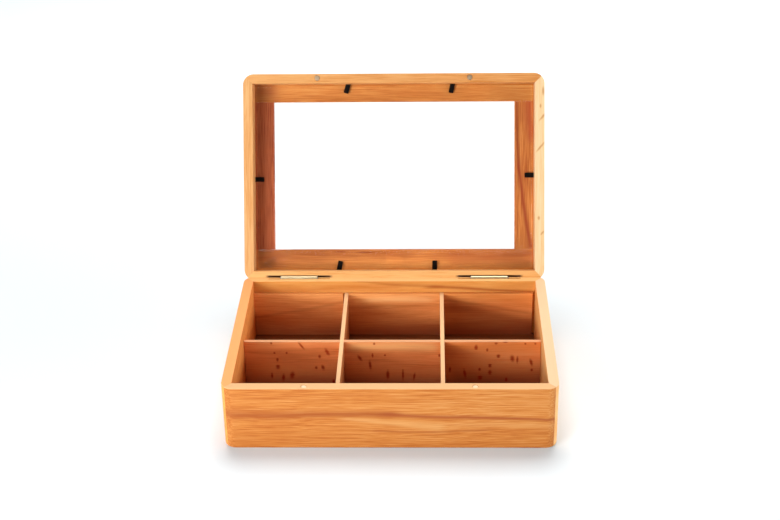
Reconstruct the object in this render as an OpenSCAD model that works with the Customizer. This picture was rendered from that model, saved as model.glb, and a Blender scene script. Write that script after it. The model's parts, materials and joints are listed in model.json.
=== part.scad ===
// Tea bag organizer box: mitred hardwood base with six compartments and a
// hinged lid with a glass window. Millimetres. X runs along the front, Y to
// the back, Z up. The origin is the centre of the face the base stands on.
// The lid is drawn in its open pose, leaning back on its bevel stop.

/* [Box] */
// outer length of the box along the front
box_w = 290; // [270:1:310]
// outer depth of the box, front to back
box_d = 199; // [185:1:215]
// height of the base from the table to its rim
base_h = 62; // [58:1:72]
// thickness of the mitred walls of base and lid
wall = 9; // [8.5:0.5:10]
// radius of the four upright corners
corner_r = 10.5; // [9:0.5:12]
// round-over on the lower edge of the base and the upper edge of the lid
edge_r = 2.5; // [1.5:0.5:3]
// gap that the hinge barrels leave between the two rims when shut
rim_gap = 0.2; // [0.1:0.1:0.4]

/* [Bottom panel] */
// thickness of the bottom panel, let in flush with the underside
bottom_t = 4; // [3:0.5:5]
// how far the panel is let into the walls
panel_in = 4; // [3:0.5:4.5]

/* [Compartments] */
// thickness of the dividers and liners
divider_t = 3.7; // [3:0.1:4]
// distance from the rim down to the top of the dividers
divider_drop = 12.4; // [10:0.2:16]
// room left between an end of the back liner and the right wall
liner_gap = 2.3; // [0.5:0.1:3]
// extra width of the left slot in the back liner
slot_slack = 1.4; // [0.2:0.2:2]
// fitting room at the ends of the dividers
divider_clear = 0.3; // [0.1:0.1:0.5]

/* [Lid] */
// height of the lid from its rim to its top
lid_h = 28; // [26:1:36]
// thickness of the window boards
board_t = 7; // [6:0.5:8]
// depth of the rebate that holds the window boards in the walls
rebate_d = 4; // [3:0.5:5]
// visible width of the board along the front of the window
front_board = 17; // [14:0.5:24]
// visible width of the board along the back of the window
back_board = 20; // [14:0.5:24]
// visible width of the two side boards of the window
side_board = 18.6; // [14:0.2:24]
// thickness of the glass pane
glass_t = 2; // [2:0.5:3]
// room between the pane and the lid walls
glass_clear = 2; // [1:0.5:3]

/* [Glass points] */
// width of a flexible glass point
point_w = 4.8; // [4:0.2:6]
// thickness of a glass point
point_t = 0.5; // [0.4:0.1:0.8]
// length of a glass point that shows over the pane
point_out = 9; // [6:0.5:11]
// length of a glass point driven into the wall
point_in = 4; // [3:0.5:5]

/* [Hinges] */
// distance from each side of the box to the middle of its hinge
hinge_side = 53; // [48:1:65]
// length of a hinge barrel and of its leaves
leaf_w = 35; // [30:1:38]
// depth of a leaf in its slot, from the barrel's centre
leaf_d = 8.6; // [7:0.2:9.5]
// thickness of a leaf
leaf_t = 1; // [0.8:0.1:1.1]
// room between a leaf's rounded end and the bottom of its slot
leaf_room = 0.3; // [0.2:0.1:0.6]
// radius of the barrel
barrel_r = 1.5; // [1.4:0.1:1.6]
// radius of the hinge pin
pin_r = 0.75; // [0.6:0.05:0.8]
// radial room between the pin and the knuckles
pin_clear = 0.05; // [0.02:0.01:0.1]
// distance of the hinge line from the back face
axis_in = 2.5; // [2.4:0.1:3]
// width of the slot for a leaf
kerf_w = 1.8; // [1.6:0.1:2]
// distance from the hinge line forward to the middle of the slot
kerf_in = 1.3; // [1.2:0.1:1.5]
// greatest depth of the slot
kerf_d = 10.6; // [10:0.2:12]
// radius of the disc that cuts the slot
kerf_r = 50; // [45:1:52]
// room between the barrel and the wood round it
barrel_clear = 0.4; // [0.3:0.1:0.5]
// how far the lid opens before its bevel meets the base's bevel, degrees
open_angle = 115; // [100:1:118]
// free angle left between the two bevels at the stop, degrees
stop_free = 0.3; // [0.2:0.1:0.6]

/* [Magnets] */
// distance from each side of the box to its magnet
magnet_side = 71.7; // [45:0.1:85]
// distance of the magnet centres from the front face
magnet_in = 4; // [4:0.1:5]
// radius of a magnet
magnet_r = 2.5; // [2:0.25:2.5]
// thickness of a magnet
magnet_t = 3; // [2:0.5:3]
// how far a magnet sits below its rim
magnet_sink = 0.3; // [0.2:0.1:0.5]
// radial room round a magnet in its hole
magnet_clear = 0.15; // [0.1:0.05:0.2]

/* [Hidden] */
$fn = 64;
hw = box_w / 2;
hd = box_d / 2;
in_w = hw - wall;
in_d = hd - wall;
axis_y = hd - axis_in;
axis_z = base_h + rim_gap / 2;
hinge_x = hw - hinge_side;
magnet_x = hw - magnet_side;
lid_z = base_h + rim_gap;
top_z = lid_z + lid_h;
bevel = (open_angle + stop_free) / 2;
floor_z = bottom_t;
div_top = base_h - divider_drop;
div_h = div_top - floor_z;
cell_w = (2 * in_w - 2 * divider_t) / 3;
cross_x = (cell_w + divider_t) / 2;
glass_z = top_z - board_t - glass_t;
far = 400;

wood = "#e09a55";
ply = "#c98244";
black = "#1c1a18";
steel = "#c9c9c6";
brass = "#d9b36a";
clear = "#dfeeee";

// places a shape drawn for the shut lid into the open pose
module open_lid() {
  translate([0, axis_y, axis_z]) rotate([-open_angle, 0, 0])
    translate([0, -axis_y, -axis_z]) children();
}

// wedge-shaped plan of one mitred wall: side 0 front, 1 back, 2 left, 3 right
module wall_plan(side) {
  if (side == 0)
    polygon([[-hw, -hd], [hw, -hd], [in_w, -in_d], [-in_w, -in_d]]);
  if (side == 1)
    polygon([[-hw, hd], [-in_w, in_d], [in_w, in_d], [hw, hd]]);
  if (side == 2)
    polygon([[-hw, -hd], [-in_w, -in_d], [-in_w, in_d], [-hw, hd]]);
  if (side == 3)
    polygon([[hw, -hd], [hw, hd], [in_w, in_d], [in_w, -in_d]]);
}

// takes the sharp outside off all four upright corners
module corner_cuts(z0, z1) {
  for (sx = [-1, 1], sy = [-1, 1])
    translate([sx * (hw - corner_r), sy * (hd - corner_r), z0])
      difference() {
        translate([sx > 0 ? 0 : -corner_r - 5, sy > 0 ? 0 : -corner_r - 5, 0])
          cube([corner_r + 5, corner_r + 5, z1 - z0]);
        translate([0, 0, -1]) cylinder(r = corner_r, h = z1 - z0 + 2);
      }
}

// round-over of the outer lower edge at height 0, all round the box
module lower_edge_cut() {
  for (sy = [-1, 1])
    difference() {
      translate([-hw + corner_r, sy > 0 ? hd - edge_r : -hd - 5, -5])
        cube([2 * (hw - corner_r), edge_r + 5, edge_r + 5]);
      translate([-hw, sy * (hd - edge_r), edge_r]) rotate([0, 90, 0])
        cylinder(r = edge_r, h = box_w);
    }
  for (sx = [-1, 1])
    difference() {
      translate([sx > 0 ? hw - edge_r : -hw - 5, -hd + corner_r, -5])
        cube([edge_r + 5, 2 * (hd - corner_r), edge_r + 5]);
      translate([sx * (hw - edge_r), -hd, edge_r]) rotate([-90, 0, 0])
        cylinder(r = edge_r, h = box_d);
    }
  for (q = [[1, 1, 0], [-1, 1, 90], [-1, -1, 180], [1, -1, 270]])
    translate([q[0] * (hw - corner_r), q[1] * (hd - corner_r), 0])
      rotate([0, 0, q[2]]) rotate_extrude(angle = 90)
        difference() {
          translate([corner_r - edge_r, -5]) square([edge_r + 5, edge_r + 5]);
          translate([corner_r - edge_r, edge_r]) circle(r = edge_r);
        }
}

// bevel behind the hinge line: dir -1 cuts the base, +1 cuts the shut lid
module bevel_cut(dir) {
  reach = 20;
  translate([-far / 2, axis_y, axis_z]) rotate([90, 0, 90])
    linear_extrude(height = far)
      polygon([[0, -dir * 2], [0, 0], [reach, dir * reach * tan(bevel)],
               [reach, -dir * 2]]);
}

// slots and barrel grooves for both hinges: dir -1 in the base, +1 in the lid
module hinge_cuts(dir) {
  for (sx = [-1, 1]) {
    translate([sx * hinge_x, axis_y - kerf_in + kerf_w / 2,
               axis_z + dir * (kerf_d - kerf_r)])
      rotate([90, 0, 0]) cylinder(r = kerf_r, h = kerf_w, $fn = 128);
    translate([sx * hinge_x - leaf_w / 2 - 1.2, axis_y, axis_z])
      rotate([0, 90, 0])
        cylinder(r = barrel_r + barrel_clear, h = leaf_w + 2.4);
  }
}

// blind holes for the magnets, opening at a rim at height z: dir as above
module magnet_cuts(z, dir) {
  for (sx = [-1, 1])
    translate([sx * magnet_x, -hd + magnet_in,
               dir < 0 ? z - magnet_t - magnet_sink : z - 1])
      cylinder(r = magnet_r + magnet_clear,
               h = magnet_t + magnet_sink + 1);
}

// ---------------------------------------------------------------- base
// the panel, or its rebate in the walls when it reaches below them
module bottom_shape(below) {
  translate([-in_w - panel_in, -in_d - panel_in, -below])
    cube([2 * (in_w + panel_in), 2 * (in_d + panel_in), below + bottom_t]);
}

module base_wall(side) {
  color(wood) difference() {
    linear_extrude(height = base_h) wall_plan(side);
    corner_cuts(-1, base_h + 1);
    lower_edge_cut();
    bottom_shape(1);
    if (side != 0) bevel_cut(-1);
    if (side == 0) magnet_cuts(base_h, -1);
    if (side == 1) hinge_cuts(-1);
  }
}

module base_front_wall() { base_wall(0); }
module base_back_wall() { base_wall(1); }
module base_left_wall() { base_wall(2); }
module base_right_wall() { base_wall(3); }

module bottom_panel() {
  color(ply) bottom_shape(0);
}

module slot(x0, x1, y) {
  translate([x0, y - 1, floor_z + div_h / 2])
    cube([x1 - x0, divider_t + 2, div_h]);
}

module front_liner() {
  color(wood) difference() {
    translate([-in_w + divider_clear, -in_d, floor_z])
      cube([2 * (in_w - divider_clear), divider_t, div_h]);
    for (sx = [-1, 1])
      slot(sx * cross_x - divider_t / 2, sx * cross_x + divider_t / 2, -in_d);
  }
}

module back_liner() {
  color(wood) difference() {
    translate([-in_w, in_d - divider_t, floor_z])
      cube([2 * in_w - liner_gap, divider_t, div_h]);
    slot(-cross_x - divider_t / 2 - slot_slack, -cross_x + divider_t / 2,
         in_d - divider_t);
    slot(cross_x - divider_t / 2, cross_x + divider_t / 2, in_d - divider_t);
  }
}

module long_divider() {
  color(wood) difference() {
    translate([-in_w + divider_clear, -divider_t / 2, floor_z])
      cube([2 * (in_w - divider_clear), divider_t, div_h]);
    for (sx = [-1, 1])
      slot(sx * cross_x - divider_t / 2, sx * cross_x + divider_t / 2,
           -divider_t / 2);
  }
}

module cross_divider(x) {
  color(wood) difference() {
    translate([x - divider_t / 2, -in_d + divider_clear, floor_z])
      cube([divider_t, 2 * (in_d - divider_clear), div_h]);
    for (y = [-in_d, -divider_t / 2, in_d - divider_t])
      translate([x - divider_t, y - (y == -in_d ? 1 : 0), floor_z - 1])
        cube([2 * divider_t, divider_t + (y == -divider_t / 2 ? 0 : 1),
              div_h / 2 + 1]);
  }
}

module left_cross_divider() { cross_divider(-cross_x); }
module right_cross_divider() { cross_divider(cross_x); }

module base_magnets() {
  color(steel) for (sx = [-1, 1])
    translate([sx * magnet_x, -hd + magnet_in,
               base_h - magnet_t - magnet_sink])
      cylinder(r = magnet_r, h = magnet_t);
}

// ---------------------------------------------------------------- hinges
// one leaf with its knuckles: dir -1 base leaf with three, +1 lid leaf with two
module leaf(x, dir) {
  k = leaf_w / 5;
  own = dir < 0 ? [0, 2, 4] : [1, 3];
  other = dir < 0 ? [1, 3] : [0, 2, 4];
  y0 = axis_y - barrel_r;
  color(brass) translate([x - leaf_w / 2, 0, 0]) difference() {
    union() {
      intersection() {
        translate([0, y0, dir < 0 ? axis_z - leaf_d : axis_z])
          cube([leaf_w, leaf_t, leaf_d]);
        translate([leaf_w / 2, y0 + leaf_t + 1, axis_z + dir * (kerf_d - kerf_r)])
          rotate([90, 0, 0])
            cylinder(r = kerf_r - leaf_room, h = leaf_t + 2, $fn = 128);
      }
      for (i = own)
        translate([i * k, axis_y, axis_z]) rotate([0, 90, 0])
          cylinder(r = barrel_r, h = k);
    }
    for (i = other)
      translate([i * k - 0.15, axis_y, axis_z]) rotate([0, 90, 0])
        cylinder(r = barrel_r + 0.3, h = k + 0.3);
    translate([-1, axis_y, axis_z]) rotate([0, 90, 0])
      cylinder(r = pin_r + pin_clear, h = leaf_w + 2);
  }
}

module pin(x) {
  color(steel) {
    translate([x - leaf_w / 2 - 0.6, axis_y, axis_z]) rotate([0, 90, 0])
      cylinder(r = pin_r, h = leaf_w + 1.2);
    for (e = [-leaf_w / 2 - 0.6, leaf_w / 2])
      translate([x + e, axis_y, axis_z]) rotate([0, 90, 0])
        cylinder(r = barrel_r - 0.2, h = 0.6);
  }
}

module hinge_left_base_leaf() { leaf(-hinge_x, -1); }
module hinge_right_base_leaf() { leaf(hinge_x, -1); }
module hinge_left_pin() { pin(-hinge_x); }
module hinge_right_pin() { pin(hinge_x); }
module hinge_left_lid_leaf() { open_lid() leaf(-hinge_x, 1); }
module hinge_right_lid_leaf() { open_lid() leaf(hinge_x, 1); }

// ---------------------------------------------------------------- lid
// upper boards fill this space, rebated into the walls
module board_space() {
  translate([-in_w - rebate_d, -in_d - rebate_d, top_z - board_t])
    cube([2 * (in_w + rebate_d), 2 * (in_d + rebate_d), board_t + 5]);
}

module lid_wall(side) {
  open_lid() color(wood) difference() {
    translate([0, 0, lid_z]) linear_extrude(height = lid_h) wall_plan(side);
    corner_cuts(lid_z - 1, top_z + 1);
    translate([0, 0, top_z]) mirror([0, 0, 1]) lower_edge_cut();
    board_space();
    if (side != 0) bevel_cut(1);
    if (side == 0) magnet_cuts(lid_z, 1);
    if (side == 1) hinge_cuts(1);
    point_shapes(side);
  }
}

module lid_front_wall() { lid_wall(0); }
module lid_back_wall() { lid_wall(1); }
module lid_left_wall() { lid_wall(2); }
module lid_right_wall() { lid_wall(3); }

module board(x0, x1, y0, y1) {
  open_lid() color(wood) translate([x0, y0, top_z - board_t])
    cube([x1 - x0, y1 - y0, board_t]);
}

win_y0 = -in_d + front_board;
win_y1 = in_d - back_board;
win_x = in_w - side_board;

module lid_front_board() {
  board(-in_w - rebate_d, in_w + rebate_d, -in_d - rebate_d, win_y0);
}
module lid_back_board() {
  board(-in_w - rebate_d, in_w + rebate_d, win_y1, in_d + rebate_d);
}
module lid_left_stile() { board(-in_w - rebate_d, -win_x, win_y0, win_y1); }
module lid_right_stile() { board(win_x, in_w + rebate_d, win_y0, win_y1); }

module glass_pane() {
  open_lid() color(clear)
    translate([-in_w + glass_clear, -in_d + glass_clear, glass_z])
      cube([2 * (in_w - glass_clear), 2 * (in_d - glass_clear), glass_t]);
}

// each glass point: wall side, place along that wall as a share of half the
// opening, counted from its middle, and lean in degrees
points = [
  [0, -0.326, 16], [0, 0.42, 10.6],
  [1, -0.4, 11.7], [1, 0.288, 2],
  [2, 0.019, 0], [3, -0.018, 0]
];

// one point lying on the pane with its root driven into the wall
module point_shape(p) {
  side = p[0];
  turn = side == 0 ? p[2] : side == 1 ? 180 + p[2] : side == 2 ? -90 : 90;
  at = side == 0 ? [p[1] * in_w, -in_d] : side == 1 ? [p[1] * in_w, in_d]
     : side == 2 ? [-in_w, p[1] * in_d] : [in_w, p[1] * in_d];
  translate([at[0], at[1], glass_z - point_t]) rotate([0, 0, turn])
    translate([-point_w / 2, -point_in, 0])
      cube([point_w, point_in + point_out, point_t]);
}

module point_shapes(side) {
  for (p = points) if (p[0] == side) point_shape(p);
}

module glass_points() {
  open_lid() color(black) for (p = points) point_shape(p);
}

module lid_magnets() {
  open_lid() color(steel) for (sx = [-1, 1])
    translate([sx * magnet_x, -hd + magnet_in, lid_z + magnet_sink])
      cylinder(r = magnet_r, h = magnet_t);
}

// ---------------------------------------------------------------- draw
base_front_wall();
base_back_wall();
base_left_wall();
base_right_wall();
bottom_panel();
front_liner();
back_liner();
long_divider();
left_cross_divider();
right_cross_divider();
base_magnets();
hinge_left_base_leaf();
hinge_right_base_leaf();
hinge_left_pin();
hinge_right_pin();
lid_front_wall();
lid_back_wall();
lid_left_wall();
lid_right_wall();
lid_front_board();
lid_back_board();
lid_left_stile();
lid_right_stile();
glass_pane();
glass_points();
lid_magnets();
hinge_left_lid_leaf();
hinge_right_lid_leaf();
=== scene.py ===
# %% [markdown]
# # An oiled beech tea box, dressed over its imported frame
# The real object is a mitred beech box with six compartments and a hinged lid
# that carries a glass window. Its shapes are settled already: every board, hinge
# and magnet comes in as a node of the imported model, in metres. This script adds
# what the frame leaves out: eased edges, rolled hinge knuckles, polished glass,
# the figure of the wood, and the light of a small studio.

import json
import math

import bmesh
import bpy
import numpy as np
from mathutils import Matrix, Vector

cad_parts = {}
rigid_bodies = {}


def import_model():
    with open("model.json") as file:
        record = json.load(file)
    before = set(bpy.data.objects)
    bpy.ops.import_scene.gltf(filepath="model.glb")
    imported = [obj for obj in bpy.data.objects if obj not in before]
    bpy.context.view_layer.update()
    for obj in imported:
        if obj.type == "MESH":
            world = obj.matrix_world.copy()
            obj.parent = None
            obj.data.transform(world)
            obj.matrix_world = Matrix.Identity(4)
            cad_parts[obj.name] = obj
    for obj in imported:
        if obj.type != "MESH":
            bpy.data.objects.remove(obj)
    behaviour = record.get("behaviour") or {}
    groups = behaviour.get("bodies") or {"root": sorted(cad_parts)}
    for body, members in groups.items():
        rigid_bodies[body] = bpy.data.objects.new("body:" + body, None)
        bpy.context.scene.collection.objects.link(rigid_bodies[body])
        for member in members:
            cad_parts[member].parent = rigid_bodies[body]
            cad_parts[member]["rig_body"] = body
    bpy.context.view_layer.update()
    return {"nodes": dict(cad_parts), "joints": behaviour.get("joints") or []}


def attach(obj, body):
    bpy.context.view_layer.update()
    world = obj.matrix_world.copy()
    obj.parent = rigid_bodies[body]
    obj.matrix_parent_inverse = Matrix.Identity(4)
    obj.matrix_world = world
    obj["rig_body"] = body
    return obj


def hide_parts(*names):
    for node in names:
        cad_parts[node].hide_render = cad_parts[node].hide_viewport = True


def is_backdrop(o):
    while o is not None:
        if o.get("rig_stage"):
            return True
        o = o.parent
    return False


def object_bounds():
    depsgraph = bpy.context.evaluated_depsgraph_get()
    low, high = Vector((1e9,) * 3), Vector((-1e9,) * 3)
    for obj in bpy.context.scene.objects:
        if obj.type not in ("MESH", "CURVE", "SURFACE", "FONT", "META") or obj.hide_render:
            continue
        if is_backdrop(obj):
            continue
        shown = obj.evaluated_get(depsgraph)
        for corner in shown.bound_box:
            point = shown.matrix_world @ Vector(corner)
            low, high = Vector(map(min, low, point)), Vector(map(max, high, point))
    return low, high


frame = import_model()
mm = 0.001  # lengths are typed in millimetres and multiplied by this

# %% [markdown]
# ## The camera
# The photograph was taken from in front and well above, by a camera turned a
# little to the left and rolled by about one degree. A camera's matrix has its own
# right, up and backward directions as columns, so the three angles are turned into
# those directions and written straight in. That avoids guessing at Euler orders.

# %% Aim the camera
def camera_directions(yaw, pitch, roll):
    """Right, up and forward for a camera that looks along +Y when all angles are 0: yaw turns it
    to the right, pitch lowers it, and roll turns the right and up directions about the view."""
    forward = np.array([math.sin(yaw) * math.cos(pitch),
                        math.cos(yaw) * math.cos(pitch), -math.sin(pitch)])
    level = np.array([math.cos(yaw), -math.sin(yaw), 0.0])
    upright = np.cross(level, forward)
    right = math.cos(roll) * level + math.sin(roll) * upright
    up = math.cos(roll) * upright - math.sin(roll) * level
    return right, up, forward


yaw, pitch, roll = np.radians([-1.7733, 28.0542, -0.9632])
lens_place = [0.03547, -1.1668, 0.7553]
right, up, forward = camera_directions(yaw, pitch, roll)
lens = bpy.data.cameras.new("photo_camera")
lens.lens, lens.sensor_width = 68.8, 36.0
camera = bpy.data.objects.new("photo_camera", lens)
bpy.context.scene.collection.objects.link(camera)
camera.matrix_world = Matrix(np.vstack([
    np.column_stack([right, up, -forward, lens_place]), [0, 0, 0, 1]]).tolist())
bpy.context.scene.camera = camera
print("camera looks along", np.round(forward, 3))

# %% [markdown]
# ## The lid's own directions
# The lid is stored open, leaning back on its bevels. Its wood runs with the lid
# and not with the table, so anything made for it is drawn as if the lid were shut
# and then turned about the hinge line, just as the real lid turns.

# %% Turn between the shut and the open lid
hinge = frame["joints"][0]
hinge_line = np.array(hinge["pos_m"])
# the joint's whole range lies between the open lid and the shut one
open_angle = math.radians(hinge["range_deg"][1])


def turned(points, angle):
    """Points turned by angle about the hinge line, which runs along X: y and z are taken from the
    line, mixed by the cosine and sine of the angle, and put back."""
    y, z = (points - hinge_line)[:, 1], (points - hinge_line)[:, 2]
    c, s = math.cos(angle), math.sin(angle)
    return np.column_stack([points[:, 0], c * y - s * z, s * y + c * z]) + [
        0, hinge_line[1], hinge_line[2]]


# the shut box: half its depth, and its height
half_depth, shut_height = 99.5 * mm, 90.2 * mm
corner = turned(np.array([[0.0, -half_depth, shut_height]]), -open_angle)[0]
print("front edge of the open lid, mm:", np.round(corner / mm, 1))

# %% [markdown]
# ## Colour
# Web colours are what a paint chart gives, and shaders want linear light, so one
# function turns the one into the other.

# %% Turn a hex colour to linear light
def linear(hex_colour):
    """Each channel of an sRGB hex colour as linear light: the low part is a straight line and the
    rest is the 2.4th power of (c + 0.055) / 1.055."""
    c = np.array([int(hex_colour[i:i + 2], 16) for i in (1, 3, 5)]) / 255
    return (*np.where(c <= 0.04045, c / 12.92, ((c + 0.055) / 1.055) ** 2.4), 1.0)


print("oiled beech in linear light:", np.round(linear("#E39A59"), 3))

# %% [markdown]
# ## One way to add a node
# Every material below is built from the same small call: it makes a node, sets its
# properties, and feeds its inputs with numbers, colours or other nodes. An input is
# given by its name, or by its number where several share a name. A Map Range takes
# what lies between inputs 1 and 2 to what lies between 3 and 4, and a Mix of colours
# lays 7 over 6.

# %% Add a node
def add_node(tree, kind, feeds=None, **settings):
    """One shader node of that kind. Feeds maps an input's name or number to a value, to a node,
    whose first output is used, or to a socket."""
    made = tree.nodes.new("ShaderNode" + kind)
    for key, value in settings.items():
        setattr(made, key, value)
    for key, value in (feeds or {}).items():
        if isinstance(value, bpy.types.Node):
            value = value.outputs[0]
        if isinstance(value, bpy.types.NodeSocket):
            tree.links.new(value, made.inputs[key])
        else:
            made.inputs[key].default_value = value
    return made


def new_material(name):
    """An empty material with its tree and its output node."""
    material = bpy.data.materials.new(name)
    material.use_nodes = True
    material.node_tree.nodes.clear()
    output = add_node(material.node_tree, "OutputMaterial")
    return material, material.node_tree, output


# %% [markdown]
# ## Oiled beech
# Beech is pale pinkish brown with a fine, even texture. Oil turns it to a warm
# orange and leaves it almost without shine. Three things make it look like beech
# and not like plain brown: slow bands where the saw crossed the growth rings, very
# fine fibres along the board, and short dark flecks, which are the rays seen from
# the side. All three are patterns stretched along the grain, so the material first
# lays its own directions: u runs along the board, v across its face and w into it.
# The pores of beech are under 0.1 mm, too fine for this render, so its fibres are
# drawn about 0.5 mm wide.

# %% Beech, its directions
def board_directions(tree, grain, on_lid, shift):
    """u, v and w in metres for a board, and the same moved by shift, so that no two boards match.
    They are the Object coordinates, turned shut for a piece of the lid, with the axes taken in the
    order that grain names."""
    place = add_node(tree, "TexCoord").outputs["Object"]
    if on_lid:
        c, s = math.cos(open_angle), math.sin(open_angle)
        y, z = hinge_line[1:]
        place = add_node(tree, "Mapping", {
            "Vector": place, "Rotation": (open_angle, 0, 0),
            "Location": (0, y - (c * y - s * z), z - (s * y + c * z))})
    parts = add_node(tree, "SeparateXYZ", {0: place})
    own = add_node(tree, "CombineXYZ", {
        i: parts.outputs["XYZ".index(axis)] for i, axis in enumerate(grain)})
    return own, add_node(tree, "VectorMath", {0: own, 1: shift}, operation="ADD")


print("the lid's boards are turned shut by", round(math.degrees(open_angle)), "degrees")

# %% Beech, noise along the grain
def stretched_noise(tree, place, per_metre, detail, roughness=0.5):
    """A noise on place whose cells are stretched: per_metre is how many of them lie on a metre
    along each axis."""
    scaled = add_node(tree, "VectorMath", {0: place, 1: per_metre}, operation="MULTIPLY")
    return add_node(tree, "TexNoise", {
        "Vector": scaled, "Scale": 1.0, "Detail": detail, "Roughness": roughness})


# %% Beech, one dark or pale streak
def streak_mask(tree, own, line, half_widths, wave):
    """How strongly a streak shows, from 0 to 1. Its middle runs from (u0, v0) to (u1, v1), and
    across it the strength falls as exp(-(distance / half width) squared). Past each end it fades
    out over 15 mm, and wave, in metres, moves it sideways."""
    (u0, v0), (u1, v1) = line
    fade = 15 * mm
    parts = add_node(tree, "SeparateXYZ", {0: own})
    u = parts.outputs[0]
    middle = add_node(tree, "MapRange", {"Value": u, 1: u0, 2: u1, 3: v0, 4: v1})
    half = add_node(tree, "MapRange", {
        "Value": u, 1: u0, 2: u1, 3: half_widths[0], 4: half_widths[1]})
    off = add_node(tree, "Math", {0: parts.outputs[1], 1: middle}, operation="SUBTRACT")
    off = add_node(tree, "Math", {0: off, 1: wave}, operation="ADD")
    share = add_node(tree, "Math", {0: off, 1: half}, operation="DIVIDE")
    square = add_node(tree, "Math", {0: share, 1: share}, operation="MULTIPLY")
    fall = add_node(tree, "Math", {0: square, 1: -1.0}, operation="MULTIPLY")
    fall = add_node(tree, "Math", {0: fall}, operation="EXPONENT")
    near = add_node(tree, "MapRange", {
        "Value": u, 1: u0 - fade, 2: u0, 3: 0.0, 4: 1.0}, interpolation_type="SMOOTHSTEP")
    far = add_node(tree, "MapRange", {
        "Value": u, 1: u1, 2: u1 + fade, 3: 1.0, 4: 0.0}, interpolation_type="SMOOTHSTEP")
    ends = add_node(tree, "Math", {0: near, 1: far}, operation="MULTIPLY")
    return add_node(tree, "Math", {0: fall, 1: ends}, operation="MULTIPLY")


# %% Beech, flecks at given places
def fleck_mask(tree, own, flecks, ragged, middle, half):
    """How strongly the nearest fleck shows, from 0.9 down to 0. Each is (u, v, half length along u,
    half width along v, lean) in mm and degrees, and counts as an ellipse: the distance from its
    middle, with each axis divided by 0.9 of its half size, which ragged makes uneven, and it fades
    from 0.3 to 1.5 of that. It reaches half on either side of middle through the board."""
    core = 0.9 * mm
    nearest = None
    for u, v, half_length, half_width, lean in flecks:
        local = add_node(tree, "Mapping", {
            "Vector": own, "Location": (u * mm, v * mm, middle * mm),
            "Rotation": (0, 0, math.radians(lean)),
            "Scale": (half_length * core, half_width * core, half * mm)}, vector_type="TEXTURE")
        away = add_node(tree, "VectorMath", {0: local}, operation="LENGTH").outputs["Value"]
        nearest = away if nearest is None else add_node(
            tree, "Math", {0: nearest, 1: away}, operation="MINIMUM")
    uneven = add_node(tree, "Math", {0: nearest, 1: ragged}, operation="ADD")
    return add_node(tree, "MapRange", {
        "Value": uneven, 1: 0.3, 2: 1.5, 3: 0.9, 4: 0.0}, interpolation_type="SMOOTHSTEP")


# %% Beech, slots painted dark for scorch and shade
def slot_mask(tree, own, centres, half):
    """0.92 inside the boxes round the saw slots and 0 outside: the largest of the three distances
    from a centre, each divided by its half size, is less than one in a box, and the dark, which is
    the blade's scorch and painted shade, fades from 0.93 to 1.05 of that."""
    nearest = None
    for centre in centres:
        local = add_node(tree, "Mapping", {
            "Vector": own, "Location": tuple(c * mm for c in centre),
            "Scale": tuple(h * mm for h in half)}, vector_type="TEXTURE")
        sides = add_node(tree, "VectorMath", {0: local}, operation="ABSOLUTE")
        parts = add_node(tree, "SeparateXYZ", {0: sides})
        most = add_node(tree, "Math", {
            0: parts.outputs[0], 1: parts.outputs[1]}, operation="MAXIMUM")
        most = add_node(tree, "Math", {0: most, 1: parts.outputs[2]}, operation="MAXIMUM")
        nearest = most if nearest is None else add_node(
            tree, "Math", {0: nearest, 1: most}, operation="MINIMUM")
    return add_node(tree, "MapRange", {"Value": nearest, 1: 0.93, 2: 1.05, 3: 0.92, 4: 0.0})


# %% Tones of the boards
# pale, mid and dark of each board, because no two boards of a tree are alike; the left stile's
# darker tones are also painted shade from the lid's left wall, and the right walls' paler tones
# partly paint the light that falls on the right walls
tones = {
    "base_front_wall": ("#CA8C4E", "#BE7634", "#A6561C"),
    "base_back_wall": ("#E09E52", "#D4883C", "#B86624"),
    "base_left_wall": ("#FAB66C", "#F6A254", "#E0843A"),
    "base_right_wall": ("#F2BE7E", "#EEAC66", "#DE9248"),
    "front_liner": ("#C08450", "#B0703C", "#985624"),
    "back_liner": ("#FFC482", "#FAAC64", "#DA8042"),
    "long_divider": ("#FAAA68", "#F29052", "#CC6832"),
    "cross_divider": ("#DE9A62", "#CE844E", "#B46C38"),
    "bottom_panel": ("#AC7444", "#9A6036", "#844C28"),
    "lid_front_wall": ("#DCA466", "#D49456", "#C27A3A"),
    "lid_back_wall": ("#E6B676", "#E2A866", "#D08C46"),
    "lid_left_wall": ("#E0B07A", "#DAA46A", "#CC8C4E"),
    "lid_right_wall": ("#EBCA9E", "#E7C190", "#DCAC70"),
    "lid_front_board": ("#BC8040", "#B26E30", "#9C581E"),
    "lid_back_board": ("#D2904A", "#C47A3A", "#9C5020"),
    "lid_left_stile": ("#A6562E", "#984622", "#7C3013"),
    "lid_right_stile": ("#C28042", "#B66E32", "#984C1E"),
}

print(len(tones), "boards have tones of their own, and the two cross dividers share one")

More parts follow.
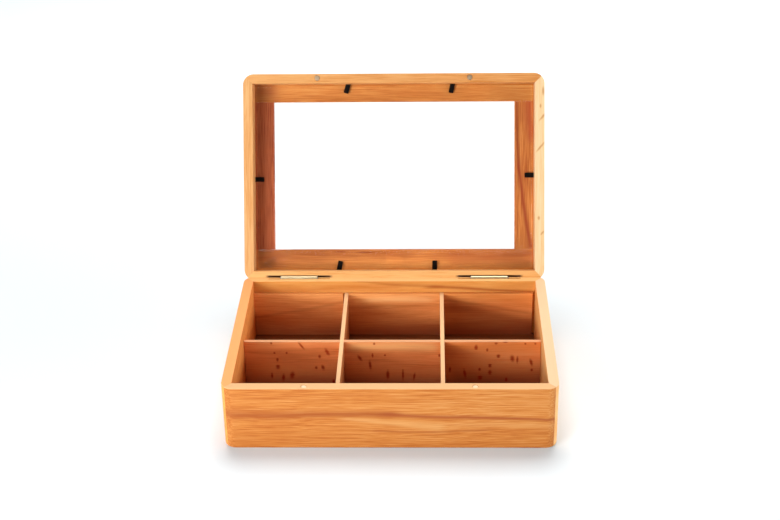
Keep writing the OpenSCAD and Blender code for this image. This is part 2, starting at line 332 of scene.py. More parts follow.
# %% Beech, the colour of its grain
def grain_colour(tree, moved, wave, shades, ring, shares):
    """The grain's colour, and the noise of its fibres. The colour runs dark, mid, pale while the
    tone goes from 0.34 to 0.66. The tone is the sum of growth bands, fibre bundles and fibres,
    each times its share. Each noise swings about 0.5, and so must their sum, so it starts from
    0.5 less half of all shares."""
    bent = add_node(tree, "CombineXYZ", {1: wave, 2: wave})
    bent = add_node(tree, "VectorMath", {0: moved, 1: bent}, operation="ADD")
    # growth bands: long in u, a few millimetres to a few centimetres across
    bands = stretched_noise(tree, bent, (1.6, ring, ring * 0.7), 5.0, 0.62)
    # fibre bundles: broken lines, 0.9 mm apart and 35 mm long
    bundle = stretched_noise(tree, bent, (28.0, 1100.0, 1100.0), 2.0, 0.55)
    # fibres: 0.5 mm wide here, finer in life
    fibre = stretched_noise(tree, moved, (40.0, 1900.0, 1900.0), 3.0, 0.6)
    tone = 0.5 - 0.5 * sum(shares)
    for noise, share in zip((bands, bundle, fibre), shares):
        tone = add_node(tree, "Math", {0: noise, 1: share, 2: tone}, operation="MULTIPLY_ADD")
    colour = add_node(tree, "ValToRGB", {0: tone})
    stops = colour.color_ramp.elements
    stops.new(0.5)
    for stop, at, shade in zip(stops, (0.34, 0.5, 0.66), shades[::-1]):
        stop.position, stop.color = at, linear(shade)
    return colour, fibre


# %% Beech, its rays
def ray_mask(tree, moved, strength):
    """How strongly a ray shows: short dashes along the grain, in cells 7 mm long and 1.4 mm wide,
    and only in the few cells whose own random number is above 0.6."""
    cells = add_node(tree, "VectorMath", {0: moved, 1: (140.0, 700.0, 700.0)},
                     operation="MULTIPLY")
    spots = add_node(tree, "TexVoronoi", {"Vector": cells, "Scale": 1.0})
    near = add_node(tree, "MapRange", {
        "Value": spots.outputs["Distance"], 1: 0.10, 2: 0.45, 3: 1.0, 4: 0.0})
    picked = add_node(tree, "MapRange", {
        "Value": spots.outputs["Color"], 1: 0.6, 2: 0.8, 3: 0.0, 4: strength})
    return add_node(tree, "Math", {0: near, 1: picked}, operation="MULTIPLY")


# %% Beech, the whole board
def beech(board, grain, seed, on_lid=False, ring=26.0, band_share=1.0, bundle_share=0.3,
          fibre_share=0.3, ray=0.15, streaks=(), flecks=(), fleck_colour="#A83008",
          fleck_reach=(0.0, 1e6), plane_and_sheen=None, slots=None):
    """Oiled beech for one board: the grain's colour, with rays, streaks, flecks, a pale top and
    dark slots laid over it. ring is bands per metre across the face. A streak is (line, half widths
    at its two ends, colour, strength), with lengths in mm, and some streaks are painted shade and
    painted light rather than figure. fleck_reach is where through the board the flecks lie and how
    far they reach from there, in mm, and by itself it is right through. plane_and_sheen is (v in
    mm, colour) for an upper edge paler than the face, for the plane's clean cut and as a painted
    sheen.
    slots is (centres, half size) of saw slots, whose walls are painted dark for the blade's scorch
    and for the shade deep in them."""
    material, tree, output = new_material("oiled_beech_" + board)
    rng = np.random.default_rng(seed)
    own, moved = board_directions(tree, grain, on_lid, tuple(rng.uniform(-3, 3, 3)))
    # the grain sways by 2.2 mm to each side, over 45 mm across and 170 mm along
    sway = stretched_noise(tree, moved, (6.0, 22.0, 22.0), 2.0)
    wave = add_node(tree, "MapRange", {
        "Value": sway, 1: 0.3, 2: 0.7, 3: -2.2 * mm, 4: 2.2 * mm}, clamp=False)
    colour, fibre = grain_colour(tree, moved, wave, tones[board], ring,
                                 (band_share, bundle_share, fibre_share))
    layers = [(ray_mask(tree, moved, ray), "#A65A28")]
    for line, halves, hue, strength in streaks:
        mask = streak_mask(tree, own, [(u * mm, v * mm) for u, v in line],
                           [half * mm for half in halves], wave)
        layers.append((add_node(tree, "Math", {0: mask, 1: strength}, operation="MULTIPLY"), hue))
    if flecks:
        ragged = add_node(tree, "MapRange", {
            "Value": fibre, 1: 0.3, 2: 0.7, 3: -0.3, 4: 0.3}, clamp=False)
        layers.append((fleck_mask(tree, own, flecks, ragged, *fleck_reach), fleck_colour))
    # a pale top band: the plane's clean cut, and a painted sheen for the light that the top catches
    if plane_and_sheen:
        top, hue = plane_and_sheen
        v = add_node(tree, "SeparateXYZ", {0: own}).outputs[1]
        edge = add_node(tree, "MapRange", {
            "Value": v, 1: (top - 0.7) * mm, 2: (top - 0.2) * mm, 3: 0.0, 4: 0.85})
        layers.append((edge, hue))
    # the slots' walls painted dark: the blade's scorch, and painted shade deep in the narrow slots
    if slots:
        layers.append((slot_mask(tree, own, *slots), "#42200F"))
    for mask, hue in layers:
        colour = add_node(tree, "Mix", {
            "Factor": mask, 6: colour, 7: linear(hue)}, data_type="RGBA").outputs[2]
    gloss = add_node(tree, "MapRange", {"Value": fibre, 1: 0.3, 2: 0.7, 3: 0.50, 4: 0.62})
    grooves = add_node(tree, "Bump", {
        "Height": fibre, "Strength": 0.25, "Distance": 0.06 * mm})
    oiled = add_node(tree, "BsdfPrincipled", {
        "Base Color": colour, "Roughness": gloss, "IOR": 1.5, "Specular IOR Level": 0.2,
        "Normal": grooves})
    tree.links.new(oiled.outputs[0], output.inputs["Surface"])
    print(f"{material.name}: {len(tree.nodes)} shader nodes")
    return material


# %% [markdown]
# ## Boards with eased edges
# A maker takes the sharpness off every edge with a strip of fine paper, and those
# narrow bright lines are what makes wood read as solid. The frame's boards have
# the right shape with knife edges, and their mesh is loose triangles. So a copy
# is merged, its flat faces are joined up again, and a narrow Bevel rounds what is
# left sharp. The copy then replaces the node.

# %% Make an eased copy of a board
# how far the paper took the edges back, in mm
wall_ease, thin_ease, window_ease = 0.35, 0.3, 0.15


def eased(node, width, material):
    """The CAD node's shape with its sharp edges rounded to width, riding on the node's body. An
    edge is sharp where its two faces meet at 35 degrees or more."""
    sharp = math.radians(35)
    bm = bmesh.new()
    bm.from_mesh(frame["nodes"][node].data)
    bmesh.ops.remove_doubles(bm, verts=bm.verts, dist=0.002 * mm)
    bmesh.ops.dissolve_limit(bm, angle_limit=math.radians(0.4), verts=bm.verts, edges=bm.edges)
    mesh = bpy.data.meshes.new(node + "_eased")
    bm.to_mesh(mesh)
    bm.free()
    mesh.materials.clear()
    mesh.materials.append(material)
    mesh.shade_smooth()
    mesh.set_sharp_from_angle(angle=sharp)
    board = bpy.data.objects.new(node + "_eased", mesh)
    bpy.context.scene.collection.objects.link(board)
    bevel = board.modifiers.new("eased_edges", "BEVEL")
    bevel.width, bevel.segments = width * mm, 2
    bevel.limit_method, bevel.angle_limit = "ANGLE", sharp
    bevel.harden_normals = True
    body = frame["nodes"][node]["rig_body"]
    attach(board, body)
    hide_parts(node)
    print(f"{node}: {len(mesh.polygons)} faces, edges eased by {width} mm")


# %% [markdown]
# ## The base walls
# The front wall shows a long dark streak of heartwood that dips to the right, with
# a pale tongue under it, and the back wall shows one that drops away from its upper
# edge. The rest of the figure is left to the growth bands. The upper edges of the
# walls were taken clean with a plane after the box was glued, and they are painted
# paler than the faces, for that clean cut and as a painted sheen for the light that the tops catch.

# %% Walls of the base
base_height = 62.0
front = beech(
    "base_front_wall", "XZY", 3, ring=30, band_share=0.5, bundle_share=0.5, fibre_share=0.6,
    ray=0.12, plane_and_sheen=(base_height, "#EABA84"),
    streaks=[(((-145, 38.0), (0, 37.6)), (5.6, 3.4), "#984A1C", 0.6),
             (((-128, 36.6), (0, 37.0)), (1.6, 1.7), "#8A3C18", 0.35),
             (((0, 37.2), (142, 29.2)), (2.2, 1.2), "#97481F", 0.85),
             (((-35, 32.0), (40, 25.5)), (1.5, 3.6), "#D09A5C", 0.6),
             (((-8, 21.3), (80, 20.6)), (0.9, 0.8), "#9C5426", 0.6),
             (((60, 26.5), (142, 24.0)), (2.5, 3.0), "#CC9458", 0.35)])
back = beech(
    "base_back_wall", "XZY", 5, plane_and_sheen=(base_height, "#F4BE7A"),
    streaks=[(((-130, 52.0), (0, 57.0)), (2.2, 3.0), "#BB5F28", 0.3),
             (((-30, 61.5), (40, 55.5)), (1.1, 1.6), "#B0602A", 0.5),
             (((40, 55.5), (135, 50.5)), (1.6, 1.3), "#A04A1A", 0.7)])
left_side = beech("base_left_wall", "YZX", 7, plane_and_sheen=(base_height, "#F8A868"))
right_side = beech("base_right_wall", "YZX", 11, plane_and_sheen=(base_height, "#F2C9A0"))
for node, material in [("base_front_wall", front), ("base_back_wall", back),
                       ("base_left_wall", left_side), ("base_right_wall", right_side)]:
    eased(node, wall_ease, material)

# %% [markdown]
# ## Compartments
# The long divider is a thin board with its rays cut across, so it is peppered with
# short dark flecks. The dividers' upper edges were taken clean with a plane end to end,
# and are painted paler, for that and as a painted sheen. The wide, weak streaks are not
# figure: they are painted shade that deepens the boards low down and towards the right,
# and painted light that warms them near the top and pales the middle of the top.

# %% The flecks of the long divider
divider_flecks = [
    (-110.6, 48.2, 1.2, 1.4, 0), (-83.2, 45.4, 1.2, 4.6, 35), (-108.2, 37.8, 1.2, 1.3, 0),
    (-97.0, 37.8, 1.2, 1.3, 0), (-105.8, 30.3, 1.3, 2.0, 0), (-105.7, 22.8, 2.2, 2.8, 0),
    (-66.8, 33.8, 1.4, 2.2, 0), (-59.7, 38.8, 1.8, 4.4, 25), (-70.3, 21.8, 1.4, 1.8, 0),
    (-64.1, 22.1, 1.8, 3.0, 15), (-101.1, 11.1, 1.6, 4.2, -5), (-92.8, 13.7, 2.4, 4.2, -10),
    (-111.6, 13.2, 1.2, 3.6, 0), (-54.7, 6.8, 1.4, 2.2, 0), (-29.9, 32.1, 1.6, 3.8, 30),
    (-18.1, 34.9, 1.0, 2.6, 0), (-16.4, 47.5, 1.2, 1.5, 0), (-20.5, 24.6, 1.4, 5.2, 5),
    (-6.7, 35.2, 1.1, 1.2, 0), (-4.4, 14.2, 1.6, 5.4, 0), (9.6, 14.2, 1.1, 6.4, 0),
    (20.0, 12.2, 1.1, 4.4, -8), (43.3, 34.8, 1.3, 1.9, 0), (76.7, 43.6, 1.8, 3.0, 0),
    (86.9, 40.8, 1.2, 1.8, 0), (94.9, 47.7, 1.8, 1.3, 0), (103.4, 49.1, 2.6, 0.9, 0),
    (97.2, 34.0, 1.9, 2.2, 0), (110.0, 31.6, 2.2, 4.0, 10), (114.6, 30.2, 1.2, 4.0, 0),
    (121.5, 47.3, 1.1, 1.1, 0), (130.6, 47.3, 1.2, 1.1, 0), (127.3, 27.4, 1.5, 4.2, 15),
    (89.6, 23.9, 1.8, 2.2, 0), (89.7, 16.5, 1.9, 2.8, 0), (80.2, 20.0, 1.4, 1.8, 0),
    (80.7, 10.8, 2.4, 2.6, 0), (66.6, 15.4, 1.5, 5.4, 10), (104.9, 8.9, 1.3, 2.4, 0),
    (128.1, 19.2, 1.3, 1.6, 0), (52.9, 19.6, 1.2, 3.2, 0)]
print("flecks on the long divider:", len(divider_flecks))

# %% Dividers and liners
divider_top = 49.6
flecked = beech(
    "long_divider", "XZY", 17, ring=18, bundle_share=0.2, fibre_share=0.25,
    plane_and_sheen=(divider_top, "#DEA477"), flecks=divider_flecks,
    # painted shade low down across the board and low at the right, painted warm light along the top
    # at the right, and a painted pool of light at the middle top
    streaks=[(((-145, 4.0), (145, 4.0)), (11.0, 11.0), "#845044", 0.45),
             (((50, 46.0), (140, 45.0)), (6.0, 7.0), "#D87828", 0.4),
             (((62, 10.0), (142, 14.0)), (13.0, 13.0), "#84442C", 0.4),
             (((-34, 45.0), (34, 45.0)), (5.0, 5.0), "#FFCC84", 0.5)])
front_lined = beech("front_liner", "XZY", 23, ring=14)
# the back liner's one fleck is painted shade: the dark of the gap that it leaves at the box's right
# side
back_lined = beech(
    "back_liner", "XZY", 19, ring=14, bundle_share=0.2, fibre_share=0.2,
    flecks=[(135.0, 27.0, 0.9, 28.0, 0)], fleck_colour="#2A0E06",
    # painted shade low down across the board, low at the right and broad in the left and right
    # cells, painted warm light along the top at the right, a painted pool of light at the middle
    # top, and three thin dark arcs along the lower edge of that lit top
    streaks=[(((-145, 4.0), (145, 4.0)), (13.0, 13.0), "#7C4C40", 0.55),
             (((55, 47.0), (140, 45.0)), (6.0, 7.0), "#D87828", 0.4),
             (((62, 14.0), (142, 10.0)), (13.0, 13.0), "#84442C", 0.35),
             (((-140, 14.0), (-60, 30.0)), (8.0, 9.0), "#9A4A22", 0.2),
             (((-135, 23.0), (-50, 41.0)), (1.6, 2.0), "#A04E24", 0.3),
             (((-42, 36.0), (40, 36.5)), (2.4, 2.4), "#A85628", 0.25),
             (((-20, 43.5), (28, 43.0)), (2.6, 2.6), "#FFC684", 0.5),
             (((52, 42.0), (136, 26.0)), (1.6, 2.0), "#A04E24", 0.3),
             (((60, 34.0), (136, 14.0)), (7.0, 8.0), "#9A4A22", 0.45)])
crossed = beech("cross_divider", "YZX", 29, plane_and_sheen=(divider_top, "#F4C490"))
for node, material in [("front_liner", front_lined), ("back_liner", back_lined),
                       ("long_divider", flecked), ("left_cross_divider", crossed),
                       ("right_cross_divider", crossed)]:
    eased(node, thin_ease, material)
panel = beech("bottom_panel", "XYZ", 31)
eased("bottom_panel", thin_ease, panel)

# %% [markdown]
# ## The lid's wood
# Four mitred walls carry a flat window frame: two boards run the full width, and
# the two stiles between them have upright grain. The right stile has a dark streak
# that runs down and outwards, and the right wall is the palest board of all, partly
# as painted light, with a few slanting ray flecks on its rim. The left stile and the
# left ends of both boards are painted darker as the shade of the left wall. On the
# back wall the walls of the two hinge slots are painted dark, for the saw's scorch and
# for the shade deep in the slots. The places below are those of the shut lid.

# %% Walls and window boards of the lid
# each board's axes along, across and into it, its seed, and what shows on it
lid_wood = {
    "lid_front_wall": ("XYZ", 37, dict(bundle_share=0.5, fibre_share=0.5)),
    # its hinge slots are painted dark, for scorch and for the shade in them
    "lid_back_wall": ("XYZ", 41, dict(
        slots=([(-92, 95.7, 67.5), (92, 95.7, 67.5)], (31.5, 1.05, 5.8)))),
    "lid_left_wall": ("YXZ", 43, dict(bundle_share=0.5, fibre_share=0.5)),
    "lid_right_wall": ("YXZ", 47, dict(
        ray=0.1, ring=60, bundle_share=0.5, fibre_share=0.45, fleck_colour="#C28C56",
        fleck_reach=(62.2, 1.6),
        flecks=[(-57.4, 143.0, 1.1, 5.0, 50), (-28.8, 141.3, 1.1, 7.0, 50),
                (-67.8, 141.0, 2.1, 1.0, 0), (39.7, 139.6, 2.0, 1.3, 0),
                (54.0, 143.0, 1.0, 3.0, 50), (-81.8, 143.6, 4.6, 1.1, 0)])),
    "lid_front_board": ("XYZ", 53, dict(
        bundle_share=0.6, fibre_share=0.6,
        # painted shade at the board's left end, beside the lid's left wall
        streaks=[(((-150, -84), (-122, -84)), (14.0, 10.0), "#8A401C", 0.6)])),
    "lid_back_board": ("XYZ", 59, dict(
        # painted shade at the left end, beside the lid's left wall, and a darker right part of the
        # board's back edge
        streaks=[(((60, 80), (140, 80)), (5.0, 7.0), "#9A4A22", 0.5),
                 (((-150, 80), (-118, 80)), (12.0, 10.0), "#964620", 0.45)],
        fleck_colour="#8E4018",
        flecks=[(-53.0, 72.8, 7.0, 0.9, 0), (-28.8, 73.5, 10.0, 1.1, 0)])),
    "lid_left_stile": ("YXZ", 61, dict(bundle_share=1.0, fibre_share=1.0)),
    "lid_right_stile": ("YXZ", 67, dict(
        bundle_share=0.7, fibre_share=0.7,
        streaks=[(((-86, 120.0), (-10, 122.2)), (1.1, 1.3), "#8C3E18", 0.9),
                 (((-88, 132.0), (-44, 132.5)), (3.6, 2.0), "#A23A1A", 0.6),
                 (((-10, 122.2), (66, 133.4)), (1.3, 2.4), "#8C381A", 0.9),
                 (((-72, 130.0), (-42, 131.5)), (4.0, 3.0), "#A04E28", 0.55)])),
}
for board, (grain, seed, extras) in lid_wood.items():
    width = window_ease if board.endswith(("board", "stile")) else wall_ease
    eased(board, width, beech(board, grain, seed, True, **extras))

# %% [markdown]
# ## Flat plates with rounded rims
# The glass, the magnets and the little black points that hold the glass are all
# plates: an outline, a thickness, and a rim that is rounded over. So one surface
# serves them all. Its two parameters are the way round the outline and the way
# over the rim, and the two flat faces close it.

# %% A plate from an outline
def rounded_outline(width, depth, radius, steps=8):
    """Points round a rectangle with rounded corners, and the outward direction at each: every
    corner is its centre plus radius times (cos a, sin a) over a quarter turn."""
    a = np.linspace(0, math.pi / 2, steps)
    a = np.concatenate([a + k * math.pi / 2 for k in range(4)])
    outward = np.column_stack([np.cos(a), np.sin(a)])
    sign = np.repeat([[1, 1], [-1, 1], [-1, -1], [1, -1]], steps, axis=0)
    return sign * [width / 2 - radius, depth / 2 - radius] + radius * outward, outward


def plate(outline, outward, low, high, rim, steps=4):
    """Grid points of a plate from height low to high. Over the rim, with b from -90 to 90 degrees,
    the outline is drawn in by rim * (1 - cos b) and the height follows rim * sin b. One more row
    at each end, 1.2 rims in, keeps the flat faces' shading flat."""
    b = np.linspace(-math.pi / 2, math.pi / 2, 2 * steps)
    inset = np.concatenate([[1.2 * rim], rim * (1 - np.cos(b)), [1.2 * rim]])
    height = np.where(b < 0, low + rim + rim * np.sin(b), high - rim + rim * np.sin(b))
    height = np.concatenate([[low], height, [high]])
    grid = np.empty((len(height), len(outline), 3))
    grid[..., :2] = outline - inset[:, None, None] * outward
    grid[..., 2] = height[:, None]
    return grid


# %% Put grids into a mesh
def ring_faces(rows, columns, start):
    """Quads between neighbouring rows of a grid whose rows close on themselves, and one flat face
    over the first and the last row."""
    index = start + np.arange(rows * columns).reshape(rows, columns)
    near, far = index[:-1], index[1:]
    quads = np.stack([near, np.roll(near, -1, 1), np.roll(far, -1, 1), far], axis=-1)
    return [*quads.reshape(-1, 4).tolist(), index[0][::-1].tolist(), index[-1].tolist()]


def solid(name, grids, body, material, replaced, on_lid=False):
    """A piece made of closed grids, turned open if it belongs to the lid. It stands for the
    frame's node replaced, and its edges are smooth up to 40 degrees."""
    faces, start = [], 0
    for grid in grids:
        faces += ring_faces(*grid.shape[:2], start)
        start += grid.shape[0] * grid.shape[1]
    points = np.concatenate([grid.reshape(-1, 3) for grid in grids])
    if on_lid:
        points = turned(points, -open_angle)
    mesh = bpy.data.meshes.new(name)
    mesh.from_pydata(points.tolist(), [], faces)
    bm = bmesh.new()
    bm.from_mesh(mesh)
    bmesh.ops.recalc_face_normals(bm, faces=bm.faces)
    bm.to_mesh(mesh)
    bm.free()
    mesh.materials.append(material)
    mesh.shade_smooth()
    mesh.set_sharp_from_angle(angle=math.radians(40))
    piece = bpy.data.objects.new(name, mesh)
    bpy.context.scene.collection.objects.link(piece)
    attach(piece, body)
    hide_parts(replaced)
    print(f"{name}: {len(mesh.polygons)} faces")


# %% [markdown]
# ## The window glass
# A pane of clear float glass, 2 mm thick, with its edge ground off, and with a
# film of dust that blurs it a very little in places. Glass that bends light would
# leave the boards behind it black, because Cycles can't aim at a lamp through it,
# so rays that look for lamps pass straight through.

# %% Glass
glass, tree, output = new_material("clear_float_glass")
dust = add_node(tree, "TexNoise", {
    "Vector": add_node(tree, "TexCoord").outputs["Object"], "Scale": 90.0, "Detail": 2.0})
film = add_node(tree, "MapRange", {"Value": dust, 1: 0.4, 2: 0.8, 3: 0.0, 4: 0.03})
clear = add_node(tree, "BsdfPrincipled", {
    "Base Color": linear("#FFFFFF"), "Roughness": film, "IOR": 1.45,
    "Transmission Weight": 1.0})
lit = add_node(tree, "LightPath").outputs["Is Shadow Ray"]
through = add_node(tree, "BsdfTransparent")
mixed = add_node(tree, "MixShader", {0: lit, 1: clear, 2: through})
tree.links.new(mixed.outputs[0], output.inputs["Surface"])
# the pane lies in its rebate: its two faces, its width and depth, and its ground rim
pane_low, pane_high = 81.2 * mm, 83.2 * mm
pane_width, pane_depth, ground = 268 * mm, 177 * mm, 0.4 * mm
outline, outward = rounded_outline(pane_width, pane_depth, 1.0 * mm)
solid("window_pane", [plate(outline, outward, pane_low, pane_high, ground)], "lid", glass,
      "glass_pane", on_lid=True)

# %% [markdown]
# ## Metals
# Four metals are used, and each shows how it was worked: black scale on the glass
# points, the dull grain of tumbled nickel, and the long lines that rolling leaves in
# sheet and drawing leaves in wire. All of these are one noise, stretched to the size
# of the marks, that drives the roughness and, where it varies, the colour.

# %% A metal with its marks
def marked_metal(name, per_metre, detail, colours, roughness, finish):
    """A metal whose roughness follows a noise with per_metre marks on a metre along x, y and z:
    it runs over its pair of values while the noise goes from 0.3 to 0.7. So does its colour where
    colours is a pair of (place in the noise, hex colour). finish is set on the shader."""
    material, tree, output = new_material(name)
    place = add_node(tree, "TexCoord").outputs["Object"]
    marks = stretched_noise(tree, place, per_metre, detail)
    if isinstance(colours, str):
        colour = linear(colours)
    else:
        colour = add_node(tree, "ValToRGB", {0: marks})
        for stop, (at, hue) in zip(colour.color_ramp.elements, colours):
            stop.position, stop.color = at, linear(hue)
    rough = add_node(tree, "MapRange", {
        "Value": marks, 1: 0.3, 2: 0.7, 3: roughness[0], 4: roughness[1]})
    metal = add_node(tree, "BsdfPrincipled", {
        "Base Color": colour, "Roughness": rough, **finish})
    tree.links.new(metal.outputs[0], output.inputs["Surface"])
    print(f"{material.name}: {len(tree.nodes)} shader nodes")
    return material


# %% [markdown]
# ## Glass points
# The points are strips of blackened spring steel. A framer shoots them into the
# wall with a gun, so no two stand quite square. The scale on them is no bare metal,
# so they are dull black with hardly any shine.

# %% Black points
steel = marked_metal(
    "blackened_spring_steel", (900.0, 900.0, 900.0), 4.0, [(0.3, "#040201"), (0.8, "#0C0806")],
    (0.48, 0.62), {"Specular IOR Level": 0.12})
# half the width and depth of the lid's hollow, and how far out a strip's middle stands
half_w, half_d = 136 * mm, 90.5 * mm
shown = 2.5 * mm
outline, outward = rounded_outline(4.8 * mm, 13 * mm, 0.9 * mm, 6)
strips = []
for side, share, lean in [("front", -0.326, 16), ("front", 0.42, 10.6), ("back", -0.4, 11.7),
                          ("back", 0.288, 2), ("left", 0.019, 0), ("right", -0.018, 0)]:
    turn, x, y = {"front": (lean, share * half_w, -half_d),
                  "back": (180 + lean, share * half_w, half_d),
                  "left": (-90, -half_w, share * half_d),
                  "right": (90, half_w, share * half_d)}[side]
    strip = plate(outline, outward, 80.7 * mm, pane_low, 0.18 * mm, 3)
    strip[..., 1] += shown
    a = math.radians(turn)
    strips.append(np.stack([
        strip[..., 0] * math.cos(a) - strip[..., 1] * math.sin(a) + x,
        strip[..., 0] * math.sin(a) + strip[..., 1] * math.cos(a) + y, strip[..., 2]], axis=-1))
solid("black_glass_points", strips, "lid", steel, "glass_points", on_lid=True)

# %% [markdown]
# ## Magnets
# Two pairs of nickel-plated discs hold the lid shut, one pair in each front wall.
# Nickel leans to yellow, tumbling rounds the rims and dulls the shine, and the warm
# base colour stands for the wood that it mirrors.

# %% Magnets
nickel = marked_metal(
    "tumbled_nickel", (1400.0, 1400.0, 1400.0), 3.0, "#DABE9C", (0.50, 0.62), {"Metallic": 1.0})
disc_width, disc_height = 5 * mm, 3 * mm
for name, low, body in [("base_magnets", 58.7 * mm, "base"), ("lid_magnets", 62.5 * mm, "lid")]:
    discs = []
    for x in (-73.3 * mm, 73.3 * mm):
        # corners a hair under half the width leave four sides too short to see
        outline, outward = rounded_outline(disc_width, disc_width, disc_width / 2 - 1e-7, 10)
        disc = plate(outline, outward, low, low + disc_height, 0.35 * mm)
        discs.append(disc + [x, 4 * mm - half_depth, 0])
    solid("nickel_" + name, discs, body, nickel, name, on_lid=body == "lid")

# %% [markdown]
# ## Slot hinges
# Each leaf is one strip of brass-plated sheet. Its knuckles are the sheet's own
# edge rolled round the pin, which leaves a thin seam along each, and its other end
# follows the round bottom of the saw slot. The rolled part is a profile carried
# along the hinge line, and the flat part is an outline with a thickness.

# %% Rolled knuckles
leaf_length, knuckles = 35 * mm, 5
outer, inner = 1.5 * mm, 0.8 * mm


def rolled(start, end, flip):
    """A knuckle: the ring from 180 to -160 degrees between the outer and inner radius, whose two
    arcs close on each other, carried from start to end along X. flip mirrors it in height."""
    a = np.radians(np.linspace(180, -160, 40))
    circle = np.column_stack([np.cos(a), np.sin(a)])
    arc = np.concatenate([outer * circle, inner * circle[::-1]])
    arc[:, 1] *= flip
    # the short steps at both ends keep the shading of the flat ends off the round
    x = np.array([start, start + 0.1 * mm, end - 0.1 * mm, end])
    grid = np.empty((len(x), len(arc), 3))
    grid[..., 0], grid[..., 1:] = x[:, None], arc
    return grid


print("seam of a knuckle, mm:", round(math.radians(20) * outer / mm, 2))

# %% Leaves
def leaf_outline(own):
    """The flat's outline in (x, depth). It starts 0.9 mm from the hinge line at its own knuckles,
    where it joins them, and 1.85 mm from it at the other leaf's. Its far end is an arc of 49.7 mm,
    inside the saw's 50, round a point 39.4 mm on the line's other side, and a depth of 8.6 mm
    cuts it off."""
    step = leaf_length / knuckles
    gap = 0.01 * mm
    top = []
    for k in range(knuckles):
        depth = 0.9 * mm if k in own else 1.85 * mm
        top += [(k * step + gap, depth), ((k + 1) * step - gap, depth)]
    x = np.linspace(leaf_length, 0, 25)
    arc = 10.6 - 50 + np.sqrt(49.7 ** 2 - ((x - leaf_length / 2) / mm) ** 2)
    return np.concatenate([np.array(top), np.column_stack([x, np.minimum(8.6, arc) * mm])])


def leaf(centre, own, flip):
    """All closed grids of one leaf, with its middle at x = centre: its own knuckles, with
    0.04 mm of air at each end, and its flat, which leaves the knuckles at their front."""
    step, air = leaf_length / knuckles, 0.04 * mm
    grids = [rolled(k * step + air, (k + 1) * step - air, flip) for k in own]
    flat = leaf_outline(own)
    sheet = np.empty((2, len(flat), 3))
    sheet[..., 0], sheet[..., 2] = flat[:, 0], -flip * flat[:, 1]
    sheet[..., 1] = np.array([-outer, -inner])[:, None]
    return [g + [centre - leaf_length / 2, *hinge_line[1:]] for g in [*grids, sheet]]


# %% Brass, wire and hinges
# the sheet's rolling lines and the wire's drawing lines are 0.25 and 0.2 mm wide and run along x
brass = marked_metal(
    "brass_plated_sheet", (300.0, 4000.0, 4000.0), 3.0, [(0.25, "#EBD5A2"), (0.75, "#FBF0CF")],
    (0.38, 0.52), {"Metallic": 1.0})
wire = marked_metal(
    "drawn_steel_wire", (200.0, 5000.0, 5000.0), 2.0, "#C9C6BF", (0.25, 0.4),
    {"Metallic": 1.0})
# half the pin between its heads, its radius, how far a head stands out, and how far it swells
half_pin, pin_radius, dome, swell = 17.5, 0.75, 0.6, 0.55
t = np.linspace(0, math.pi / 2, 6)
head = np.column_stack([-(half_pin + dome) + dome * (1 - np.cos(t)),
                        pin_radius + swell * np.sin(t)])
rows = mm * np.concatenate([
    head, [[-half_pin, pin_radius], [half_pin, pin_radius]], head[::-1] * [-1, 1]])
a = np.linspace(0, 2 * math.pi, 24, endpoint=False)
for side, x in (("left", -92 * mm), ("right", 92 * mm)):
    solid(f"hinge_{side}_base_rolled", leaf(x, (0, 2, 4), 1), "base", brass,
          f"hinge_{side}_base_leaf")
    solid(f"hinge_{side}_lid_rolled", leaf(x, (1, 3), -1), "lid", brass,
          f"hinge_{side}_lid_leaf", on_lid=True)
    # the pin is turned: its rows lie along x, and each is a circle of the profile's radius
    pin = np.empty((len(rows), len(a), 3))
    pin[..., 0] = x + rows[:, :1]
    pin[..., 1] = hinge_line[1] + rows[:, 1:] * np.cos(a)
    pin[..., 2] = hinge_line[2] + rows[:, 1:] * np.sin(a)
    solid(f"hinge_{side}_wire", [pin], "base", wire, f"hinge_{side}_pin")

# %% [markdown]
# ## Floor
# The photograph is high key: the table is white all the way to the edges, and only
# a soft grey shadow lies at the foot of the box. The table is matt white paper. The
# wood throws a warm light on it, and a faint bluish glow of the paper cancels that.

# %% Floor
paper, tree, output = new_material("matt_white_paper")
matt = add_node(tree, "BsdfDiffuse", {"Color": linear("#E5E5E5")})
glow = add_node(tree, "Emission", {"Color": linear("#00DAFF"), "Strength": 0.10})
both = add_node(tree, "AddShader", {0: matt, 1: glow})
tree.links.new(both.outputs[0], output.inputs["Surface"])
reach = 4.0
mesh = bpy.data.meshes.new("paper_table")
mesh.from_pydata([(-reach, -reach, 0), (reach, -reach, 0), (reach, reach, 0),
                  (-reach, reach, 0)], [], [(0, 1, 2, 3)])
mesh.materials.append(paper)
table = bpy.data.objects.new("paper_table", mesh)
bpy.context.scene.collection.objects.link(table)
table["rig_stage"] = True
print("side of the table, m:", 2 * reach)

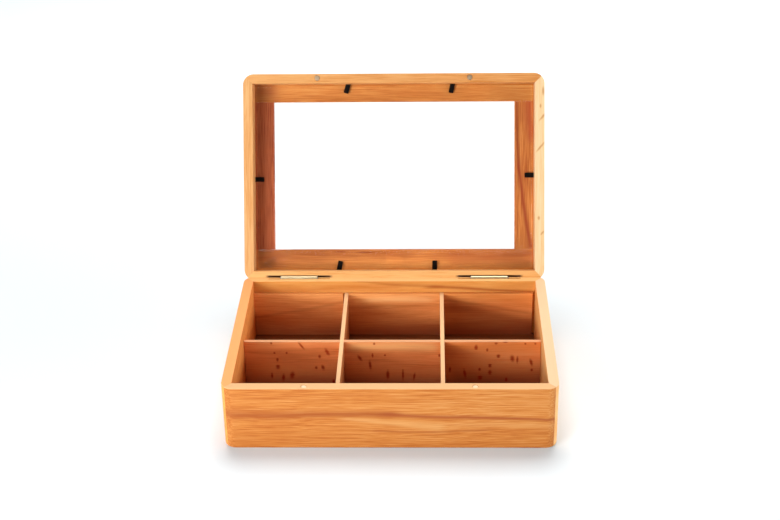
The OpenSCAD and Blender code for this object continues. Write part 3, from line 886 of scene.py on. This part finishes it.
# %% [markdown]
# ## Lamps
# Most of the light falls from a large box above and behind the object, which
# lights the floor, the rims and the compartments. A low key box at the left front
# and another at the right model the upright faces. Three weak boxes lift what these
# leave dark: from the left, from close by, and from straight ahead. Two more only
# whiten the table, behind the tea box and at its right, and the room itself adds
# almost nothing. A soft box is a flat lamp, and the larger it looks from the object,
# the softer the shadow it casts.

# %% Room and lamps
def soft_box(name, place, target, size, power, reflects=True):
    """A flat lamp at place that faces target, all in metres. size is its width and height, and
    power is in watts. A box that doesn't reflect isn't seen in the glass or the metal."""
    data = bpy.data.lights.new(name, "AREA")
    data.shape, data.energy = "RECTANGLE", power
    data.size, data.size_y = size
    lamp = bpy.data.objects.new(name, data)
    bpy.context.scene.collection.objects.link(lamp)
    lamp.location = place
    lamp.visible_glossy = reflects
    lamp.rotation_euler = (Vector(target) - Vector(place)).to_track_quat("-Z", "Y").to_euler()
    print(f"{name}: {power} W")


world = bpy.data.worlds.new("white_room")
bpy.context.scene.world = world
world.use_nodes = True
room = world.node_tree.nodes["Background"]
room.inputs["Color"].default_value = linear("#FFFFFF")
room.inputs["Strength"].default_value = 0.03
soft_box("key_soft_box", (-1.03, -1.23, 0.30), (0, 0, 0.10), (0.8, 0.50), 21.5)
soft_box("left_soft_box", (-1.23, -0.86, 0.65), (0, 0, 0.10), (0.5, 0.5), 3.8, False)
soft_box("near_soft_box", (-0.35, -0.65, 0.35), (0, 0, 0.08), (0.35, 0.35), 1.5, False)
soft_box("right_soft_box", (1.52, -0.42, 0.31), (0, 0, 0.10), (0.9, 0.35), 15)
soft_box("front_soft_box", (0.0, -1.5, 1.0), (0, 0, 0.10), (0.7, 0.5), 1.5, False)
soft_box("back_soft_box", (0.0, 1.22, 2.8), (0, 0, 0.05), (1.8, 1.8), 92)
soft_box("background_soft_box", (0.1, 0.7, 0.55), (0.1, 1.1, 0), (1.8, 0.2), 3.0, False)
soft_box("floor_soft_box", (0.56, 0.22, 0.5), (0.86, 0.22, 0), (0.3, 0.5), 1.3, False)
bpy.context.scene.view_settings.view_transform = "Standard"

# %% [markdown]
# ## The size
# Dressing a frame must not make it grow, so the box of what shows is printed, in mm.

# %% Print the visual box
low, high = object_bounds()
print("visual box in mm:", [round(x / mm, 1) for x in high - low])
